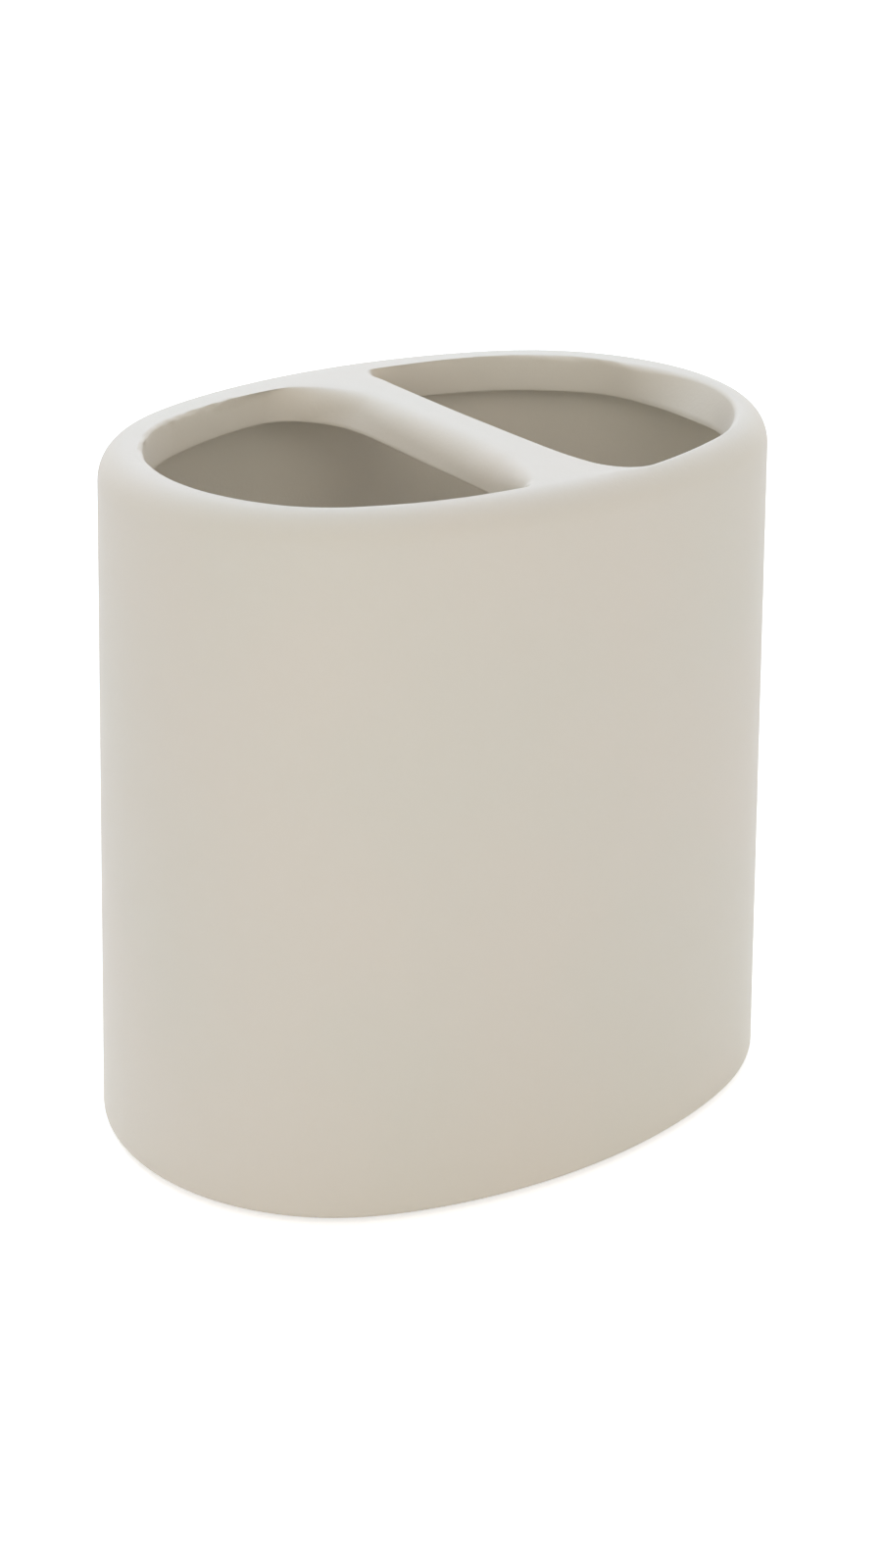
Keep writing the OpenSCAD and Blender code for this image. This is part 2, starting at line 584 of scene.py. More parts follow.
def cloud_tone_group() -> bpy.types.NodeTree:
    """Slow drift of a colour between two near tones, as in a dipped or moulded surface.

    Returns:
        The node group.
    """
    group, board = new_group(
        "Cloud_Tone",
        [("Vector", "NodeSocketVector", None), ("Scale", "NodeSocketFloat", 30.0),
         ("Tone A", "NodeSocketColor", None), ("Tone B", "NodeSocketColor", None)],
        [("Color", "NodeSocketColor")])
    start, end = board.add("NodeGroupInput"), board.add("NodeGroupOutput")
    cloud = board.add("ShaderNodeTexNoise", noise_dimensions="3D")
    board.value(cloud, Detail=3.0, Roughness=0.45)
    board.link(start.outputs["Vector"], cloud.inputs["Vector"])
    board.link(start.outputs["Scale"], cloud.inputs["Scale"])
    spread = board.add("ShaderNodeMapRange", interpolation_type="SMOOTHSTEP")
    board.value(spread, From_Min=0.35, From_Max=0.65)
    board.link(cloud.outputs["Fac"], spread.inputs["Value"])
    tone = board.blend(spread.outputs["Result"], start.outputs["Tone A"], start.outputs["Tone B"])
    board.link(tone, end.inputs["Color"])
    return group


def grain_group() -> bpy.types.NodeTree:
    """Fine grain of a matte skin: a height for bump and a small change of roughness.

    Returns:
        The node group.
    """
    group, board = new_group(
        "Fine_Grain",
        [("Vector", "NodeSocketVector", None), ("Scale", "NodeSocketFloat", 1800.0),
         ("Wave Scale", "NodeSocketFloat", 260.0), ("Wave Share", "NodeSocketFloat", 0.5),
         ("Roughness", "NodeSocketFloat", 0.6), ("Roughness Swing", "NodeSocketFloat", 0.05)],
        [("Height", "NodeSocketFloat"), ("Roughness", "NodeSocketFloat")])
    start, end = board.add("NodeGroupInput"), board.add("NodeGroupOutput")
    fine = board.add("ShaderNodeTexNoise", noise_dimensions="3D")
    board.value(fine, Detail=2.0, Roughness=0.6)
    wave = board.add("ShaderNodeTexNoise", noise_dimensions="3D")
    board.value(wave, Detail=2.0, Roughness=0.5)
    for node, scale in ((fine, "Scale"), (wave, "Wave Scale")):
        board.link(start.outputs["Vector"], node.inputs["Vector"])
        board.link(start.outputs[scale], node.inputs["Scale"])
    slow = board.math("MULTIPLY", wave.outputs["Fac"], start.outputs["Wave Share"])
    board.link(board.math("ADD", fine.outputs["Fac"], slow), end.inputs["Height"])
    centred = board.math("SUBTRACT", wave.outputs["Fac"], 0.5)
    swing = board.math("MULTIPLY", centred, start.outputs["Roughness Swing"])
    board.link(board.math("ADD", swing, start.outputs["Roughness"]), end.inputs["Roughness"])
    return group


def speck_group() -> bpy.types.NodeTree:
    """Sparse pinholes and iron specks: a mask that is 1 in each speck.

    Returns:
        The node group.
    """
    group, board = new_group(
        "Sparse_Specks",
        [("Vector", "NodeSocketVector", None), ("Scale", "NodeSocketFloat", 90.0),
         ("Size", "NodeSocketFloat", 0.04), ("Share", "NodeSocketFloat", 0.1)],
        [("Mask", "NodeSocketFloat")])
    start, end = board.add("NodeGroupInput"), board.add("NodeGroupOutput")
    cells = board.add("ShaderNodeTexVoronoi", voronoi_dimensions="3D", feature="F1")
    board.link(start.outputs["Vector"], cells.inputs["Vector"])
    board.link(start.outputs["Scale"], cells.inputs["Scale"])
    parts = board.add("ShaderNodeSeparateColor")
    board.link(cells.outputs["Color"], parts.inputs["Color"])
    size = board.math("MULTIPLY", parts.outputs["Green"], start.outputs["Size"])
    inside = board.math("LESS_THAN", cells.outputs["Distance"], size)
    chosen = board.math("LESS_THAN", parts.outputs["Red"], start.outputs["Share"])
    board.link(board.math("MULTIPLY", inside, chosen), end.inputs["Mask"])
    return group


@dataclass(frozen=True)
class Finish:
    """What a matte finish needs, with colours in linear light and scales per metre.

    Attributes:
        name: name of the material.
        slot: material slot of the solids it dresses; not used.
        tone_a: one of its two near tones.
        tone_b: the other tone.
        cloud_scale: how quickly the tones drift.
        grain_scale: how fine the grain is.
        wave_scale: how fine the broader waves of the grain are.
        wave_share: how strong they are beside the grain.
        bump: strength of the bump.
        bump_distance: height of the bump, in metres.
        roughness: middle roughness.
        swing: how much the roughness changes with the waves.
        speck_tone: colour of the specks.
        speck_scale: how densely they may lie.
        speck_size: the largest speck's radius, as a share of its cell.
        speck_share: the share of cells that have one.
        speck_weight: how strongly they show.
    """

    name: str
    slot: str
    tone_a: Colour
    tone_b: Colour
    cloud_scale: float
    grain_scale: float
    wave_scale: float
    wave_share: float
    bump: float
    bump_distance: float
    roughness: float
    swing: float
    speck_tone: Colour
    speck_scale: float
    speck_size: float
    speck_share: float
    speck_weight: float


GLAZE = Finish(
    name="Matte_Glaze", slot="matte_glaze",
    tone_a=(0.788, 0.727, 0.630), tone_b=(0.774, 0.727, 0.630), cloud_scale=26.0,
    grain_scale=1900.0, wave_scale=330.0, wave_share=0.6, bump=0.25, bump_distance=0.0001,
    roughness=0.58, swing=0.12,
    speck_tone=(0.36, 0.31, 0.25), speck_scale=95.0, speck_size=0.05, speck_share=0.10, speck_weight=0.6)

PAD = Finish(
    name="Soft_Pad", slot="soft_pad",
    tone_a=(0.60, 0.60, 0.58), tone_b=(0.56, 0.56, 0.54), cloud_scale=120.0,
    grain_scale=2600.0, wave_scale=700.0, wave_share=0.3, bump=0.35, bump_distance=0.0001,
    roughness=0.5, swing=0.1,
    speck_tone=(0.4, 0.4, 0.38), speck_scale=400.0, speck_size=0.04, speck_share=0.05, speck_weight=0.4)


@dataclass
class Dresser:
    """Makes one material of each finish, from the shared effects."""

    cloud: bpy.types.NodeTree = field(default_factory=cloud_tone_group)
    grain: bpy.types.NodeTree = field(default_factory=grain_group)
    specks: bpy.types.NodeTree = field(default_factory=speck_group)
    made: dict[Finish, bpy.types.Material] = field(default_factory=dict)

    def material(self, finish: Finish) -> bpy.types.Material:
        """Material of a finish, made when it is first asked for.

        Args:
            finish: the finish.

        Returns:
            The material.
        """
        if finish not in self.made:
            self.made[finish] = self.make(finish)
        return self.made[finish]

    def make(self, finish: Finish) -> bpy.types.Material:
        """Builds one material.

        Args:
            finish: the finish to build.

        Returns:
            The new material.
        """
        material = bpy.data.materials.new(finish.name)
        material.use_nodes = True
        board = Board(material.node_tree)
        tone = self.effect(board, self.cloud, Scale=finish.cloud_scale,
                           Tone_A=(*finish.tone_a, 1.0), Tone_B=(*finish.tone_b, 1.0))
        grain = self.effect(board, self.grain, Scale=finish.grain_scale, Wave_Scale=finish.wave_scale,
                            Wave_Share=finish.wave_share, Roughness=finish.roughness,
                            Roughness_Swing=finish.swing)
        specks = self.effect(board, self.specks, Scale=finish.speck_scale, Size=finish.speck_size,
                             Share=finish.speck_share)
        place = board.add("ShaderNodeTexCoord").outputs["Object"]
        for node in (tone, grain, specks):
            board.link(place, node.inputs["Vector"])
        weight = board.math("MULTIPLY", specks.outputs["Mask"], finish.speck_weight)
        spotted = board.blend(weight, tone.outputs["Color"], (*finish.speck_tone, 1.0))
        bump = board.add("ShaderNodeBump")
        board.value(bump, Strength=finish.bump, Distance=finish.bump_distance)
        board.link(grain.outputs["Height"], bump.inputs["Height"])
        shader = board.add("ShaderNodeBsdfPrincipled")
        board.link(spotted, shader.inputs["Base Color"])
        board.link(grain.outputs["Roughness"], shader.inputs["Roughness"])
        board.link(bump.outputs["Normal"], shader.inputs["Normal"])
        end = board.add("ShaderNodeOutputMaterial")
        board.link(shader.outputs["BSDF"], end.inputs["Surface"])
        return material

    @staticmethod
    def effect(board: Board, group: bpy.types.NodeTree, **values: object) -> bpy.types.Node:
        """Places a shared effect.

        Args:
            board: where it is placed.
            group: the effect.
            **values: its inputs, with spaces written as underscores.

        Returns:
            The placed node.
        """
        node = board.add("ShaderNodeGroup", node_tree=group)
        board.value(node, **values)
        return node


class Piece(ABC):
    """A piece of the holder, with the solid it stands for and its finish."""

    node: str
    finish: Finish

    @abstractmethod
    def build(self) -> bpy.types.Object:
        """Builds the piece's mesh."""

    def dress(self, dresser: Dresser) -> bpy.types.Object:
        """Builds the piece, gives it its material and lets it stand for its solid.

        Args:
            dresser: makes the materials.

        Returns:
            The dressed piece, riding the root body.
        """
        piece = self.build()
        piece.data.materials.append(dresser.material(self.finish))
        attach(piece, "root")
        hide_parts(self.node)
        return piece


@dataclass
class TopDeck(Piece):
    """The flat top with its two D-shaped openings, the rounded cross bar and the soft rim.

    Attributes:
        body: sizes shared with the vessel.
        mouths: the right and the left opening.
        bar_middle: where the bar's middle line meets the outline.
        rim_drop: height of the outer rounding.
        rim_run: how far the outer rounding reaches inward.
        bar_roll: radius of the roll along the bar.
        lip_round: radius of the lip's lower edge.
        lip_waves: share of the slow unevenness that the lip keeps.
        rear_blend: to both sides of the middle, the depth over which the rim's roll changes over.
        bite_blend: depth over which the fine bites set in toward the rear.
        lift_fade: the thinning is whole this near the rear corner, and gone this far from it.
        flat_shares: places of the points between the outer rounding and an opening's crest.
        under_shares: places of the points between a lip and the outer face.
    """

    body: Body
    mouths: tuple[MouthSide, MouthSide] = (RIGHT_MOUTH, LEFT_MOUTH)
    bar_middle: float = 2.6
    rim_drop: float = 5.0
    rim_run: float = 4.5
    bar_roll: float = 5.0
    lip_round: float = 0.35
    lip_waves: float = 0.6
    rear_blend: float = 12.0
    bite_blend: float = 12.0
    lift_fade: tuple[float, float] = (7.2, 31.2)
    flat_shares: tuple[float, ...] = (0.25, 0.5, 0.75)
    under_shares: tuple[float, ...] = (0.3, 0.65)
    rim_steps: int = 180
    corner_steps: int = 24
    bar_steps: int = 64
    round_steps: int = 14
    roll_steps: int = 12
    wall_steps: int = 6
    lip_steps: int = 3
    crease_deg: float = 50.0
    name: str = "deck_skin"
    node: str = "top_deck"
    finish: Finish = GLAZE

    def edge(self, line: EdgeLine, z: float) -> np.ndarray:
        """Points of one edge, in the order of the Stretch names.

        Args:
            line: the edge.
            z: its height.

        Returns:
            One row of x and y for each point.
        """
        plan, face = self.body.plan, self.body.face(z)
        front, front_curve = line.corner(plan, face, False)
        back, back_curve = line.corner(plan, face, True)
        back_y, front_y = back_curve[-1][1], front_curve[-1][1]
        turns = np.linspace(0, 1, self.corner_steps + 1)[:-1, None]
        return np.vstack([
            [line.rim(plan, face, mix(front, back, i / self.rim_steps)) for i in range(self.rim_steps)],
            self.bend(back_curve, turns),
            [line.bar(mix(back_y, front_y, i / self.bar_steps)) for i in range(self.bar_steps)],
            self.bend(front_curve[::-1], turns)])

    @staticmethod
    def bend(handles: np.ndarray, t: np.ndarray) -> np.ndarray:
        """Points of a curve with four handles."""
        a, b, c, d = handles
        return a * (1 - t) ** 3 + 3 * b * t * (1 - t) ** 2 + 3 * c * t * t * (1 - t) + d * t ** 3

    def stretches(self) -> np.ndarray:
        """Name of the stretch that each point of an edge lies in."""
        counts = {Stretch.RIM: self.rim_steps, Stretch.BAR: self.bar_steps}
        return np.concatenate([[one.value] * counts.get(one, self.corner_steps) for one in Stretch])

    def roll_share(self, mouth: MouthSide, lip: np.ndarray) -> np.ndarray:
        """How far the roll of each point has grown from the rim's to the bar's.

        Args:
            mouth: the opening.
            lip: points of its lip.

        Returns:
            0 for the rim's roll and 1 for the bar's, at each point.
        """
        steps = np.linalg.norm(np.roll(lip, -1, axis=0) - lip, axis=1)
        at = np.concatenate([[0.0], np.cumsum(steps)[:-1]])
        half = self.corner_steps // 2
        back_at, front_at = at[self.rim_steps + half], at[len(lip) - half]
        names = self.stretches()
        rim = names == Stretch.RIM.value
        from_back = at - back_at
        from_front = np.where(rim, front_at - steps.sum() - at, front_at - at)
        grown = [np.array([ease((d - low) / (high - low)) for d in away]) for away, (low, high) in
                 ((from_back, mouth.back_fade), (from_front, mouth.front_fade))]
        both = np.where(rim, np.maximum(*grown), np.minimum(*grown))
        both = np.where(names == Stretch.BACK_CORNER.value, grown[0], both)
        return np.where(names == Stretch.FRONT_CORNER.value, grown[1], both)

    def roll_radius(self, mouth: MouthSide, lip: np.ndarray, run: np.ndarray,
                    share: np.ndarray) -> np.ndarray:
        """Radius of the roll at each point.

        Args:
            mouth: the opening.
            lip: points of its lip.
            run: how far the crest lies from the lip, seen from above.
            share: how far the roll has grown from the rim's to the bar's.

        Returns:
            The radius at each point, no larger than the run allows.
        """
        rear = np.array([ease((y / self.rear_blend + 1) / 2) for _, y in lip])
        rim_roll = mix(mouth.rim_roll[0], mouth.rim_roll[1], rear)
        return np.minimum(mix(rim_roll, self.bar_roll, share), np.maximum(run, rim_roll))

    def crest_turn(self, width: float) -> float:
        """How far round the outer edge's rounding is when it meets the roll of an opening."""
        return math.acos(max(0.0, 1 - width / self.rim_run))

    def crest_dip(self, mouth: MouthSide) -> np.ndarray:
        """How far each point of the crest lies below the flat top, where the rim is too narrow to be flat.

        Args:
            mouth: the opening.

        Returns:
            The depth at each point.
        """
        front, back = self.corner_angles(mouth)
        widths = [mouth.crest.width(mix(front, back, i / self.rim_steps)) for i in range(self.rim_steps)]
        dips = [self.rim_drop * (1 - math.sin(self.crest_turn(width))) for width in widths]
        fade = [ease(i / self.corner_steps) for i in range(self.corner_steps)]
        return np.concatenate([dips, [dips[-1] * (1 - f) for f in fade], np.zeros(self.bar_steps),
                               [dips[0] * f for f in fade]])

    def levels(self, mouth: MouthSide) -> list[list[Point]]:
        """All rows of one opening, from its crest down to the lip's underside.

        Args:
            mouth: the opening.

        Returns:
            The points of each row.
        """
        body, side = self.body, mouth.side.value
        crest, lip = self.edge(mouth.crest, body.rim_z), self.edge(mouth.lip, body.seam_z)
        high = body.rim_z - self.crest_dip(mouth)
        low = body.seam_z + self.lip_round + mouth.lift * self.near_back(lip)
        run = np.linalg.norm(crest - lip, axis=1)
        way = (crest - lip) / run[:, None]
        tangent = np.roll(lip, -1, axis=0) - np.roll(lip, 1, axis=0)
        out = np.column_stack([tangent[:, 1], -tangent[:, 0]]) / np.linalg.norm(tangent, axis=1)[:, None]
        share = self.roll_share(mouth, lip)
        roll = self.roll_radius(mouth, lip, run, share)
        rise = high - low
        lean = np.arccos(roll / np.hypot(run, rise - roll)) - np.arctan2(rise - roll, run)
        coarse, fine = self.unevenness(mouth, lip, share)
        rows = []
        for i in range(self.roll_steps + 1):
            turn = mix(math.pi / 2, lean, i / self.roll_steps)
            away, z = run - roll * np.cos(turn), high - roll + roll * np.sin(turn)
            push = coarse + fine * math.sin(math.pi * i / self.roll_steps)
            rows.append((lip + way * away[:, None] + out * push[:, None], z))
        last, last_z = rows[-1]
        end = lip + out * (self.lip_waves * coarse[:, None])
        for i in range(1, self.wall_steps + 1):
            t = i / self.wall_steps
            rows.append((mix(last, end, t), mix(last_z, low, t)))
        for i in range(1, self.lip_steps + 1):
            turn = math.pi / 2 * i / self.lip_steps
            rows.append((end + out * (self.lip_round * (1 - math.cos(turn))),
                         low - self.lip_round * math.sin(turn)))
        return [[(side * x, y, height) for (x, y), height in zip(flat, z)] for flat, z in rows]

    def near_back(self, lip: np.ndarray) -> np.ndarray:
        """1 at the rear corner of an opening, fading to 0 away from it.

        Args:
            lip: points of its lip.

        Returns:
            The nearness of each point.
        """
        whole, gone = self.lift_fade
        corner = lip[self.rim_steps + self.corner_steps // 2]
        return np.array([ease((gone - np.linalg.norm(point - corner)) / (gone - whole)) for point in lip])

    def unevenness(self, mouth: MouthSide, lip: np.ndarray,
                   share: np.ndarray) -> tuple[np.ndarray, np.ndarray]:
        """Hand-trimmed unevenness of an opening's edge.

        Args:
            mouth: the opening.
            lip: points of its lip.
            share: how far the roll has grown from the rim's to the bar's.

        Returns:
            The slow waves all round, and the fine bites along the rear rim.
        """
        side, seed = mouth.side.value, mouth.seed
        coarse = [SLOW_WAVE.at(side * x, y, seed) + QUICK_WAVE.at(side * x, y, seed) for x, y in lip]
        fine = [mouth.ragged * ease(y / self.bite_blend) * (1 - s) * BITES.at(side * x, y, seed)
                for (x, y), s in zip(lip, share)]
        return np.array(coarse), np.array(fine)

    def corner_angles(self, mouth: MouthSide) -> tuple[float, float]:
        """Directions, at the crest, where an opening's front and back corners begin."""
        plan, face = self.body.plan, self.body.face(self.body.rim_z)
        return mouth.crest.corner(plan, face, False)[0], mouth.crest.corner(plan, face, True)[0]

    def ring(self) -> list[tuple[float, float]]:
        """Points of the outer ring, right end first.

        Returns:
            The direction of each point and the width of the rim there.
        """
        plan, wide = self.body.plan, self.rim_run
        half = self.corner_steps // 2
        made = []
        for mouth in self.mouths:
            front, back = self.corner_angles(mouth)
            width = mouth.crest.width
            bar_x = mouth.side.value * self.bar_middle
            front_tee, back_tee = (plan.angle_at_x(bar_x, 0.0, rear) for rear in (False, True))
            near = [(mix(front_tee, front, i / half), mix(wide, width(front), ease(i / half)))
                    for i in range(half)]
            rim = [mix(front, back, i / self.rim_steps) for i in range(self.rim_steps)]
            far = [(mix(back, back_tee, i / half), mix(width(back), wide, ease(i / half)))
                   for i in range(half + 1)]
            made.append(near + [(angle, width(angle)) for angle in rim] + far)
        right, left = made
        return right[:-1] + [(math.pi - angle, width) for angle, width in reversed(left)][:-1]

    def outer_rows(self, ring: Sequence[tuple[float, float]]) -> list[list[Point]]:
        """Rows of the outer face, from the seam up and over the rounding to the crest.

        Args:
            ring: direction and rim width of each point.

        Returns:
            The points of each row.
        """
        body, plan = self.body, self.body.plan
        straight = body.rim_z - self.rim_drop
        rows = [[(*plan.at(angle, body.face(z)), z) for angle, _ in ring]
                for z in (body.seam_z, (body.seam_z + straight) / 2)]
        for i in range(self.round_steps + 1):
            row = []
            for angle, width in ring:
                turn = self.crest_turn(width) * i / self.round_steps
                z = straight + self.rim_drop * math.sin(turn)
                row.append((*plan.at(angle, body.face(z) - self.rim_run * (1 - math.cos(turn))), z))
            rows.append(row)
        return rows

    def build(self) -> bpy.types.Object:
        """Builds the closed skin of the deck.

        Returns:
            The deck.
        """
        skin = Skin()
        body = self.body
        ring = self.ring()
        outer = [skin.row(row) for row in self.outer_rows(ring)]
        for lower, upper in zip(outer, outer[1:]):
            skin.band(lower, upper)
        count_right = self.rim_steps + self.corner_steps
        halves = {
            Side.RIGHT: list(range(0, count_right + 1)),
            Side.LEFT: list(range(count_right, len(ring))) + [0],
        }
        above = self.bar_line(skin, outer[-1], halves[Side.RIGHT], body.rim_z)
        below = self.bar_line(skin, outer[0], halves[Side.RIGHT], body.seam_z)
        for mouth in self.mouths:
            self.join_half(skin, mouth, halves[mouth.side], outer, above, below)
        return skin.build(self.name, self.crease_deg)

    def bar_line(self, skin: Skin, ring: Sequence[int], half: Sequence[int], z: float) -> list[int]:
        """Points along the bar's middle, from the back of the ring to its front.

        Args:
            skin: the mesh that takes the points.
            ring: indices of the ring that the bar spans.
            half: places on the ring of its right half, from front to back.
            z: height of the points.

        Returns:
            Their indices, with those of the ring at both ends.
        """
        back, front = skin.points[ring[half[-1]]], skin.points[ring[half[0]]]
        count = self.bar_steps + self.corner_steps
        inner = [(mix(back[0], front[0], i / count), mix(back[1], front[1], i / count), z)
                 for i in range(1, count)]
        return [ring[half[-1]]] + skin.row(inner) + [ring[half[0]]]

    def join_half(self, skin: Skin, mouth: MouthSide, half: Sequence[int], outer: Sequence[Sequence[int]],
                  above: Sequence[int], below: Sequence[int]) -> None:
        """Joins one opening's rows to the outer ring and to the bar's middle.

        Args:
            skin: the mesh that takes the rows.
            mouth: the opening.
            half: places on the ring of the opening's half.
            outer: indices of the outer rows, from the seam to the crest.
            above: indices of the bar's middle line on the top.
            below: indices of the same line on the underside.
        """
        top = [outer[-1][i] for i in half]
        low = [outer[0][i] for i in half]
        if mouth.side is Side.LEFT:
            top, low = top[::-1], low[::-1]
        shift = self.corner_steps // 2
        loops = []
        for around, middle in ((top, above), (low, below)):
            loop = around[:-1] + list(middle[:-1])
            loops.append(loop[shift:] + loop[:shift])
        first, end = ([skin.points[i] for i in loop] for loop in loops)
        rows = self.levels(mouth)
        last = loops[0]
        for share in self.flat_shares:
            last = skin.step(last, [self.between(p, q, share) for p, q in zip(first, rows[0])])
        for points in rows:
            last = skin.step(last, points)
        for share in self.under_shares:
            last = skin.step(last, [self.between(p, q, share) for p, q in zip(rows[-1], end)])
        skin.band(last, loops[1])

    @staticmethod
    def between(a: Point, b: Point, share: float) -> Point:
        """Point between two others."""
        return tuple(mix(u, v, share) for u, v in zip(a, b))


@dataclass
class Vessel(Piece):
    """The cast body below the deck: leaning wall, rounded foot, recessed underside and deep hollow.

    Attributes:
        body: sizes shared with the deck.
        ring: directions of the points of each row, as on the deck's outer ring.
        ring_w: width of the foot ring.
        recess: depth of the recessed underside.
        recess_edge: size of the soft edges of the recess.
        floor_t: thickness of the floor above the recess.
        inner_round: rounding between the inside wall and the floor.
        flat_insets: how far in from the face two rows of the recess's ceiling lie; the floor has the first.
        disc_shares: places of the rows toward the middle of ceiling and floor.
    """

    body: Body
    ring: Sequence[float]
    ring_w: float = 7.0
    recess: float = 1.0
    recess_edge: float = 0.4
    floor_t: float = 5.0
    inner_round: float = 8.0
    flat_insets: tuple[float, float] = (20.0, 12.0)
    disc_shares: tuple[float, ...] = (0.7, 0.4, 0.15)
    foot_steps: int = 10
    wall_steps: int = 16
    hollow_steps: int = 12
    floor_steps: int = 14
    crease_deg: float = 50.0
    name: str = "vessel_skin"
    node: str = "cup_body"
    finish: Finish = GLAZE

    def stations(self) -> list[tuple[float, float]]:
        """How far in from the outer face and how high each row lies, walking from underside to floor.

        Returns:
            The inset and the height of each row.
        """
        body = self.body
        ceiling = body.foot_z + self.recess
        floor = ceiling + self.floor_t
        rows = [(inset, ceiling) for inset in (*self.flat_insets, self.ring_w + self.recess_edge)]
        rows.append((self.ring_w, ceiling - self.recess_edge))
        rows.append((self.ring_w, body.foot_z + self.recess_edge / 2))
        rows.append((self.ring_w - self.recess_edge / 2, body.foot_z))
        for i in range(self.foot_steps + 1):
            turn = math.pi / 2 * i / self.foot_steps
            rows.append((body.foot_round * (1 - math.sin(turn)),
                         body.foot_z + body.foot_round * (1 - math.cos(turn))))
        low, high = body.foot_z + body.foot_round, body.seam_z
        rows += [(0.0, mix(low, high, i / self.wall_steps)) for i in range(1, self.wall_steps + 1)]
        rows.append((body.wall, high))
        bottom = floor + self.inner_round
        rows += [(body.wall, mix(high, bottom, i / self.hollow_steps))
                 for i in range(1, self.hollow_steps + 1)]
        for i in range(1, self.floor_steps + 1):
            turn = math.pi / 2 * i / self.floor_steps
            rows.append((body.wall + self.inner_round * (1 - math.cos(turn)),
                         floor + self.inner_round * (1 - math.sin(turn))))
        rows.append((self.flat_insets[0], floor))
        return rows

    def build(self) -> bpy.types.Object:
        """Builds the closed skin of the vessel.

        Returns:
            The vessel.
        """
        skin = Skin()
        plan, body = self.body.plan, self.body
        rows = [skin.row((*plan.at(angle, body.face(z) - inset), z) for angle in self.ring)
                for inset, z in self.stations()]
        for lower, upper in zip(rows, rows[1:]):
            skin.band(lower, upper)
        for end in (rows[0], rows[-1]):
            last = end
            edge = [skin.points[i] for i in end]
            middle = (0.0, 0.0, edge[0][2])
            for share in self.disc_shares:
                last = skin.step(last, [(x * share, y * share, z) for x, y, z in edge])
            skin.cap(last, middle)
        return skin.build(self.name, self.crease_deg)


@dataclass
class SoftPad(Piece):
    """One round pad with a soft lower edge, stuck into the recess, in millimetres.

    Attributes:
        node: the solid it stands for.
        edge: radius of the lower edge.
        base_inset: how far in from the rim the flat base begins.
        base_share: the inner row of the base, as a share of the radius.
        wall_share: height of the row half way up the wall, as a share of the wall.
        bevel: how far in and how far down the worn upper edge reaches.
        bevel_run: how far in its lower row lies.
        crown_share: the inner row of the top, as a share of the radius.
    """

    node: str
    edge: float = 0.6
    base_inset: float = 0.96
    base_share: float = 0.45
    wall_share: float = 0.6
    bevel: tuple[float, float] = (0.15, 0.08)
    bevel_run: float = 0.05
    crown_share: float = 0.5
    edge_steps: int = 6
    segments: int = 48
    crease_deg: float = 60.0
    finish: Finish = PAD

    def profile(self, radius: float, bottom: float, top: float) -> list[tuple[float, float]]:
        """Half section of the pad, from its base round to its top.

        Args:
            radius: radius of the pad.
            bottom: height of its base.
            top: height of its top.

        Returns:
            The radius and the height of each row.
        """
        rows = [(radius * self.base_share, bottom), (radius - self.base_inset, bottom)]
        for i in range(self.edge_steps + 1):
            turn = math.pi / 2 * i / self.edge_steps
            rows.append((radius - self.edge * (1 - math.sin(turn)),
                         bottom + self.edge * (1 - math.cos(turn))))
        return rows + [
            (radius, mix(bottom + self.edge, top, self.wall_share)),
            (radius - self.bevel_run, top - self.bevel[1]),
            (radius - self.bevel[0], top),
            (radius * self.crown_share, top)]

    def build(self) -> bpy.types.Object:
        """Builds the pad where its solid lies.

        Returns:
            The pad.
        """
        low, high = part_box(self.node)
        x, y = ((low[i] + high[i]) / 2 / MM for i in range(2))
        radius = (high[0] - low[0]) / 2 / MM
        bottom, top = low[2] / MM, high[2] / MM
        turns = np.linspace(0, 2 * math.pi, self.segments + 1)[:-1]
        skin = Skin()
        rows = [skin.row((x + r * math.cos(t), y + r * math.sin(t), z) for t in turns)
                for r, z in self.profile(radius, bottom, top)]
        for lower, upper in zip(rows, rows[1:]):
            skin.band(lower, upper)
        skin.cap(rows[0], (x, y, bottom))
        skin.cap(rows[-1], (x, y, top))
        return skin.build(self.node + "_skin", self.crease_deg)


@dataclass(frozen=True)
class Lamp:
    """One soft square studio lamp that faces the holder, in metres and watts."""

    name: str
    place: Point
    size: float
    power: float
    colour: Colour


